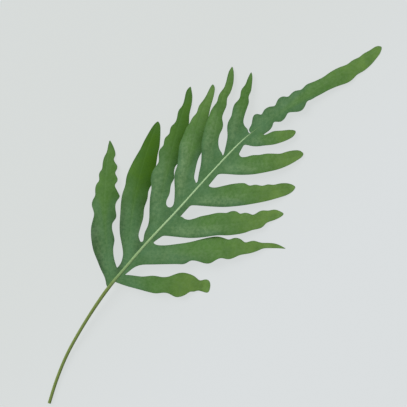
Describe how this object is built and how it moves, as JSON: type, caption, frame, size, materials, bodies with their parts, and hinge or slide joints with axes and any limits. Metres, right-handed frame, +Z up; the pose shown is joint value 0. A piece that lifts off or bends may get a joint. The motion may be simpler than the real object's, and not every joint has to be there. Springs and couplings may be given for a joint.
{
  "type": "fern frond",
  "caption": "Single cut fern frond lying down: bare stalk, midrib and a leathery green blade cut into long finger lobes with scalloped edges.",
  "frame": {"origin": "centre of the frond's footprint, on the surface it lies on", "axes": "+X along the midrib from the stalk's cut end to the frond's tip, +Y to the frond's left seen from above, +Z up"},
  "size_m": [0.4897, 0.2044, 0.0155],
  "materials": {
    "leaf": "satin leathery leaf blade, mid green, with a paler stalk and midrib"
  },
  "bodies": {
    "root": {"fern_frond": "leaf"}
  },
  "joints": []
}
